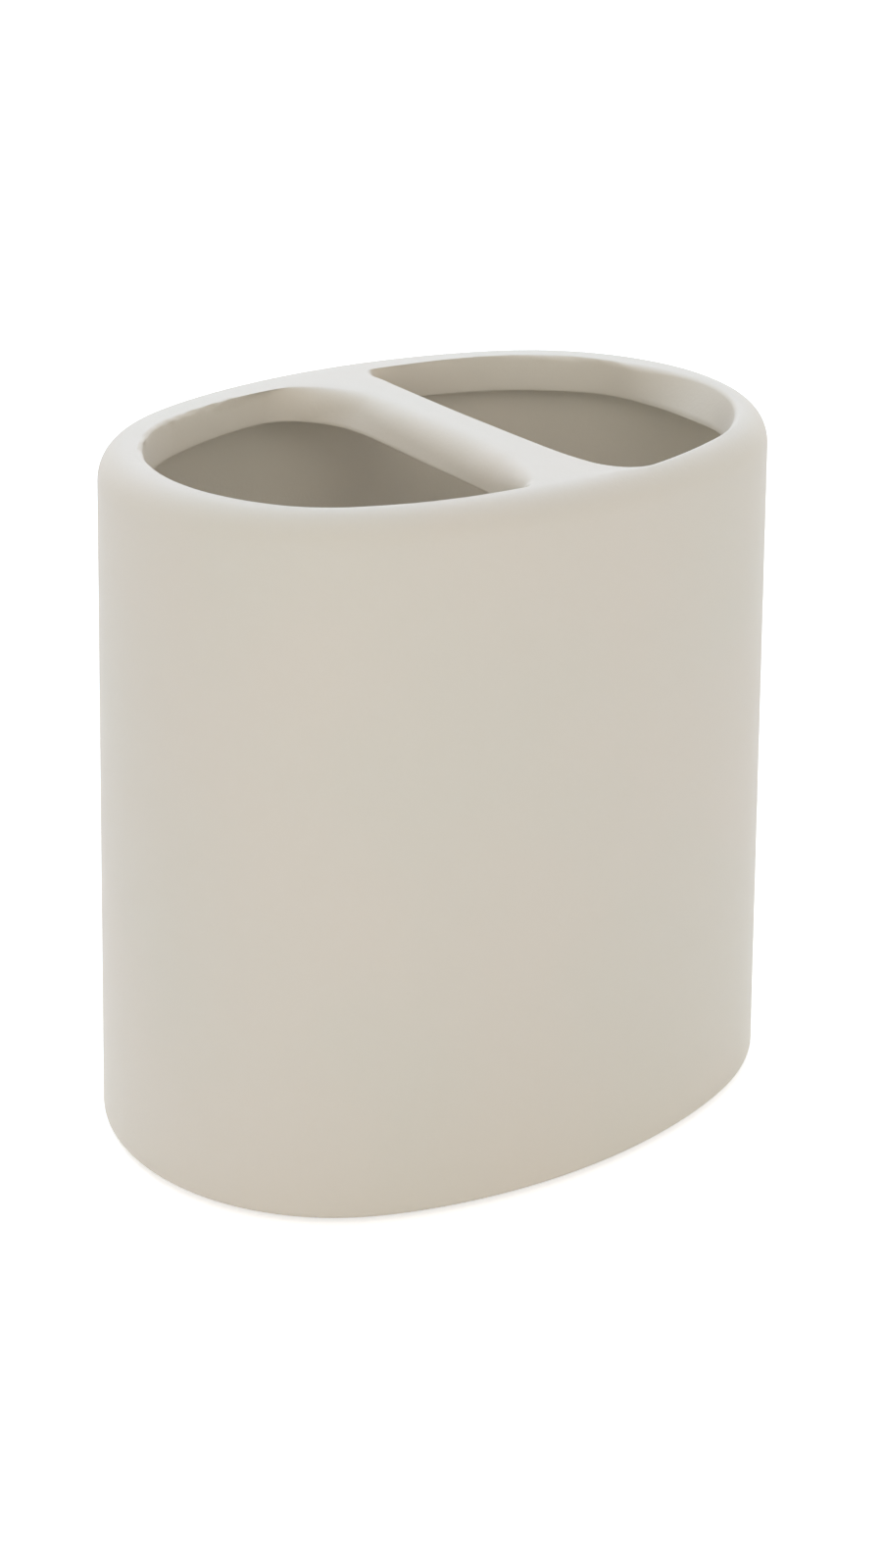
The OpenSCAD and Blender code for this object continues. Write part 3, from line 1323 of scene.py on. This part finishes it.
@dataclass
class Studio:
    """Pale floor, white surroundings and soft lamps, in metres.

    Attributes:
        horizon_strength: light from the surroundings near the horizon.
        zenith_strength: light from straight above.
        horizon_band: heights between which the one turns into the other, as a share of straight up.
        daylight: colour of that light.
        floor_size: radius of the floor.
        floor_sides: number of its sides.
        floor_tone: how pale it is.
        floor_glow: how much is added to what the camera sees of it.
        aim: the point that all lamps face.
        lamps: the lamps.
    """

    horizon_strength: float = 1.08
    zenith_strength: float = 0.12
    horizon_band: tuple[float, float] = (0.05, 0.75)
    daylight: Colour = (1.0, 0.972, 0.92)
    floor_size: float = 4.0
    floor_sides: int = 96
    floor_tone: float = 0.95
    floor_glow: float = 0.55
    aim: Point = (0.0, 0.0, 0.06)
    lamps: tuple[Lamp, ...] = (
        Lamp("Rear_Softbox", (0.00, 0.80, 1.00), 1.0, 5.9, (0.73, 0.83, 1.0)),
        Lamp("Right_Softbox", (0.60, 0.60, 0.95), 1.0, 3.8, (0.69, 0.80, 1.0)),
        Lamp("Top_Softbox", (0.00, 0.15, 1.25), 1.0, 2.4, (0.49, 0.68, 1.0)),
        Lamp("Front_Softbox", (-0.45, -0.65, 1.05), 1.0, 4.1, (0.99, 0.93, 0.86)),
        Lamp("Right_Fill", (1.20, 0.20, 0.40), 1.0, 2.1, (0.89, 0.95, 1.0)),
    )

    @staticmethod
    def seen_directly(board: Board) -> bpy.types.NodeSocket:
        """Mask that is 1 for what the camera, a gloss or a clear material sees.

        Args:
            board: where its nodes are placed.

        Returns:
            The mask's output.
        """
        path = board.add("ShaderNodeLightPath")
        either = board.math("MAXIMUM", path.outputs["Is Camera Ray"], path.outputs["Is Glossy Ray"])
        return board.math("MAXIMUM", either, path.outputs["Is Transmission Ray"])

    def surroundings(self) -> None:
        """White to look at, and an even soft light on the object."""
        world = bpy.data.worlds.new("Studio_World")
        bpy.context.scene.world = world
        world.use_nodes = True
        board = Board(world.node_tree)
        light = board.add("ShaderNodeBackground")
        board.value(light, Color=(*self.daylight, 1.0))
        height = board.add("ShaderNodeSeparateXYZ")
        board.link(board.add("ShaderNodeTexCoord").outputs["Generated"], height.inputs[0])
        ramp = board.add("ShaderNodeMapRange", interpolation_type="SMOOTHSTEP")
        board.value(ramp, From_Min=self.horizon_band[0], From_Max=self.horizon_band[1],
                    To_Min=self.horizon_strength, To_Max=self.zenith_strength)
        board.link(height.outputs["Z"], ramp.inputs["Value"])
        board.link(ramp.outputs["Result"], light.inputs["Strength"])
        white = board.add("ShaderNodeBackground")
        board.value(white, Color=(1.0, 1.0, 1.0, 1.0), Strength=1.0)
        shown = board.add("ShaderNodeMixShader")
        board.link(self.seen_directly(board), shown.inputs[0])
        board.link(light.outputs[0], shown.inputs[1])
        board.link(white.outputs[0], shown.inputs[2])
        board.link(shown.outputs[0], board.add("ShaderNodeOutputWorld").inputs["Surface"])

    def floor(self) -> bpy.types.Object:
        """Builds the round pale floor at the height the holder stands on.

        Returns:
            The floor.
        """
        work = bmesh.new()
        bmesh.ops.create_circle(work, cap_ends=True, segments=self.floor_sides, radius=self.floor_size)
        mesh = bpy.data.meshes.new("Studio_Floor")
        work.to_mesh(mesh)
        work.free()
        floor = bpy.data.objects.new("Studio_Floor", mesh)
        bpy.context.scene.collection.objects.link(floor)
        material = bpy.data.materials.new("Pale_Floor")
        material.use_nodes = True
        board = Board(material.node_tree)
        matte = board.add("ShaderNodeBsdfDiffuse")
        board.value(matte, Color=(self.floor_tone, self.floor_tone, self.floor_tone, 1.0))
        glow = board.add("ShaderNodeEmission")
        strength = board.math("MULTIPLY", self.seen_directly(board), self.floor_glow)
        board.link(strength, glow.inputs["Strength"])
        both = board.add("ShaderNodeAddShader")
        board.link(matte.outputs[0], both.inputs[0])
        board.link(glow.outputs[0], both.inputs[1])
        board.link(both.outputs[0], board.add("ShaderNodeOutputMaterial").inputs["Surface"])
        mesh.materials.append(material)
        return floor

    def light(self) -> None:
        """Hangs the soft lamps."""
        for lamp in self.lamps:
            data = bpy.data.lights.new(lamp.name, "AREA")
            data.shape, data.size, data.energy, data.color = "SQUARE", lamp.size, lamp.power, lamp.colour
            softbox = bpy.data.objects.new(lamp.name, data)
            bpy.context.scene.collection.objects.link(softbox)
            softbox.location = lamp.place
            away = Vector(lamp.place) - Vector(self.aim)
            softbox.rotation_mode = "QUATERNION"
            softbox.rotation_quaternion = away.to_track_quat("Z", "Y")

    def build(self) -> None:
        """Sets up the whole studio."""
        bpy.context.scene.view_settings.view_transform = "Standard"
        self.surroundings()
        self.floor()
        self.light()


@dataclass(frozen=True)
class Viewpoint:
    """Camera of the photograph, with lengths in millimetres and angles in radians.

    Attributes:
        azimuth: how far round from the front it stands, negative to the left.
        elevation: how far above the horizon.
        roll: turn about the line of sight.
        pan: turn to the right of the target.
        tilt: turn upward from the target.
        distance: from the target.
        focal_px: focal length in pixels of the photograph.
        frame_px: height of the photograph in pixels.
        sensor: height of the sensor.
        clip: nearest and farthest distance seen, in metres.
        target: the point it is aimed at before pan and tilt.
    """

    azimuth: float = -0.6129
    elevation: float = 0.4117
    roll: float = 0.0104
    pan: float = 0.0012
    tilt: float = -0.0105
    distance: float = 420.4
    focal_px: float = 2701.3
    frame_px: float = 1600.0
    sensor: float = 36.0
    clip: tuple[float, float] = (0.01, 20.0)
    target: Point = (0.0, 0.0, 55.8)

    def axes(self) -> tuple[Vector, Vector, Vector, Vector]:
        """Where the camera stands and how it is turned.

        Returns:
            Its place and its right, up and back directions.
        """
        ca, sa = math.cos(self.azimuth), math.sin(self.azimuth)
        ce, se = math.cos(self.elevation), math.sin(self.elevation)
        back = Vector((sa * ce, -ca * ce, se))
        place = Vector(self.target) + back * self.distance
        ahead = -back
        right = ahead.cross(Vector((0, 0, 1))).normalized()
        up = right.cross(ahead)
        cr, sr = math.cos(self.roll), math.sin(self.roll)
        right, up = right * cr + up * sr, up * cr - right * sr
        cp, sp = math.cos(self.pan), math.sin(self.pan)
        ahead, right = ahead * cp + right * sp, right * cp - ahead * sp
        ct, st = math.cos(self.tilt), math.sin(self.tilt)
        ahead, up = ahead * ct + up * st, up * ct - ahead * st
        return place, right, up, -ahead

    def build(self) -> bpy.types.Object:
        """Sets up the camera and makes it the scene's own.

        Returns:
            The camera.
        """
        data = bpy.data.cameras.new("Photo_Camera")
        data.sensor_width = self.sensor
        data.lens = self.focal_px / self.frame_px * self.sensor
        data.clip_start, data.clip_end = self.clip
        camera = bpy.data.objects.new("Photo_Camera", data)
        bpy.context.scene.collection.objects.link(camera)
        place, right, up, back = self.axes()
        turned = Matrix((right, up, back)).transposed()
        camera.matrix_world = Matrix.Translation(place * MM) @ turned.to_4x4()
        bpy.context.scene.camera = camera
        return camera


@dataclass
class Holder:
    """The whole toothbrush holder: vessel, deck and pads, each with its finish."""

    body: Body = field(default_factory=Body.from_frame)
    dresser: Dresser = field(default_factory=Dresser)

    def pieces(self) -> list[Piece]:
        """All pieces; deck and vessel share one ring of directions."""
        deck = TopDeck(self.body)
        return [Vessel(self.body, [angle for angle, _ in deck.ring()]), deck, *map(SoftPad, PAD_NODES)]

    def build(self) -> list[bpy.types.Object]:
        """Builds and dresses every piece."""
        return [piece.dress(self.dresser) for piece in self.pieces()]


def main() -> None:
    """Builds camera, studio and holder, and reports each piece."""
    logging.basicConfig(level=logging.INFO, format="%(name)s: %(message)s")
    Viewpoint().build()
    Studio().build()
    for piece in Holder().build():
        mesh = piece.data
        log.info("%s: %d points, %d faces", piece.name, len(mesh.vertices), len(mesh.polygons))


if __name__ == "__main__":
    main()
